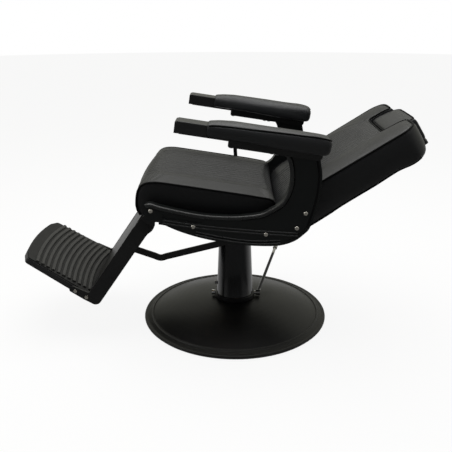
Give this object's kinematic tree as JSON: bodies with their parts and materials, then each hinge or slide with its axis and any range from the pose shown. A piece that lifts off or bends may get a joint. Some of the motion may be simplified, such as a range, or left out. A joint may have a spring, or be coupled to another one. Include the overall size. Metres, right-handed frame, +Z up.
{
  "type": "hydraulic barber chair",
  "caption": "Reclining barber chair on a round pump base, with a swinging footrest, padded arms and a drawing-out headrest.",
  "frame": {"origin": "middle of the round base, on the floor", "axes": "+X to the sitter's left, +Y from front to back, +Z up; the chair faces -Y"},
  "size_m": [0.7142, 1.3348, 0.768],
  "materials": {
    "cast_black": "satin enamel over the casting",
    "dark_trim": "satin",
    "chrome": "polished",
    "steel": "bright",
    "frame_black": "semi-gloss",
    "bronze": "plain",
    "rubber": "matt",
    "mat_rubber": "satin",
    "leather": "fine grain with a soft sheen",
    "panel_black": "gloss with a fine grain",
    "plastic_black": "satin",
    "board": "bare plywood"
  },
  "bodies": {
    "base": {"floor_ring": "rubber", "base_plate": "cast_black", "rim_ring": "cast_black", "pump_collar": "frame_black", "flange_bolts": "steel", "pump_cylinder": "steel", "guide_bush": "bronze", "column_shroud": "frame_black", "release_valve": "steel"},
    "pedal": {"pedal_shaft": "steel", "pedal_rod": "chrome", "pedal_pad": "rubber"},
    "lift_ram": {"ram": "chrome", "thrust_washer": "bronze"},
    "swivel_saddle": {"saddle": "frame_black", "tilt_pin": "steel", "tilt_stops": "rubber"},
    "seat": {"side_plate_left": "frame_black", "side_plate_right": "frame_black", "front_cross_tube": "frame_black", "rear_cross_tube": "frame_black", "frame_rail_left": "frame_black", "frame_rail_right": "frame_black", "seat_board": "board", "seat_cushion": "leather", "footrest_shaft": "steel", "side_panel_left": "panel_black", "side_panel_right": "panel_black", "panel_screws": "chrome", "arm_bracket_left": "frame_black", "arm_bracket_right": "frame_black", "arm_block_left": "plastic_black", "arm_block_right": "plastic_black", "arm_pad_left": "leather", "arm_pad_right": "leather", "arm_bolts": "steel"},
    "recline_handle": {"recline_lever": "frame_black", "recline_knob": "plastic_black"},
    "back": {"torque_tube": "frame_black", "back_upright_left": "frame_black", "back_upright_right": "frame_black", "back_board": "board", "back_cushion": "leather", "back_wing_left": "leather", "back_wing_right": "leather", "back_cover": "leather", "headrest_guides": "steel"},
    "headrest": {"headrest_posts": "chrome", "headrest_board": "plastic_black", "headrest_pad": "leather"},
    "footrest": {"foot_arm_left": "frame_black", "foot_arm_right": "frame_black", "leg_panel": "frame_black", "foot_plate": "dark_trim", "foot_mat": "mat_rubber", "foot_screws": "chrome", "link_clevis": "frame_black"},
    "foot_link": {"footrest_link": "frame_black"},
    "lock_tube": {"lock_cylinder": "frame_black"},
    "lock_plunger": {"lock_rod": "chrome"}
  },
  "joints": [
    {"name": "pump_pedal", "type": "hinge", "parent": "base", "child": "pedal", "pos_m": [0, 0, 0.086], "axis": [0, -1, 0], "range_deg": [0, 17], "stiffness_Nm_per_rad": 20, "springref_deg": -11.46},
    {"name": "lift", "type": "slide", "parent": "base", "child": "lift_ram", "axis": [0, 0, 1], "range_m": [0, 0.15]},
    {"name": "swivel", "type": "hinge", "parent": "lift_ram", "child": "swivel_saddle", "pos_m": [0, 0, 0.36], "axis": [0, 0, 1], "continuous": true},
    {"name": "seat_tilt", "type": "hinge", "parent": "swivel_saddle", "child": "seat", "pos_m": [0, -0.04, 0.4], "axis": [1, 0, 0], "range_deg": [0, 8.5]},
    {"name": "recline", "type": "hinge", "parent": "seat", "child": "back", "pos_m": [0, 0.20003, 0.47029], "axis": [1, 0, 0], "range_deg": [0, 36]},
    {"name": "footrest_swing", "type": "hinge", "parent": "seat", "child": "footrest", "pos_m": [0, -0.25517, 0.45541], "axis": [1, 0, 0], "range_deg": [0, 19.3]},
    {"name": "link_pivot", "type": "hinge", "parent": "footrest", "child": "foot_link", "pos_m": [0, -0.3611, 0.3001], "axis": [1, 0, 0], "range_deg": [-16.8, 0]},
    {"name": "lock_swing", "type": "hinge", "parent": "seat", "child": "lock_tube", "pos_m": [0, -0.13964, 0.40984], "axis": [1, 0, 0], "range_deg": [0, 0.8]},
    {"name": "lock_extend", "type": "slide", "parent": "lock_tube", "child": "lock_plunger", "axis": [0, 0.9902, -0.1396], "range_m": [0, 0.068]},
    {"name": "headrest_slide", "type": "slide", "parent": "back", "child": "headrest", "axis": [0, 0.8443, 0.5358], "range_m": [0, 0.1]},
    {"name": "recline_release", "type": "hinge", "parent": "seat", "child": "recline_handle", "pos_m": [0, 0.00627, 0.42544], "axis": [-1, 0, 0], "range_deg": [0, 15], "stiffness_Nm_per_rad": 2, "springref_deg": -5.73}
  ],
  "couplings": [
    {"joint": "footrest_swing", "follows": "recline", "ratio": 0.53275},
    {"joint": "link_pivot", "follows": "recline", "ratio": -0.46181},
    {"joint": "lock_swing", "follows": "recline", "ratio": 0.018392},
    {"joint": "lock_extend", "follows": "recline", "m_per_rad": 0.10607}
  ]
}
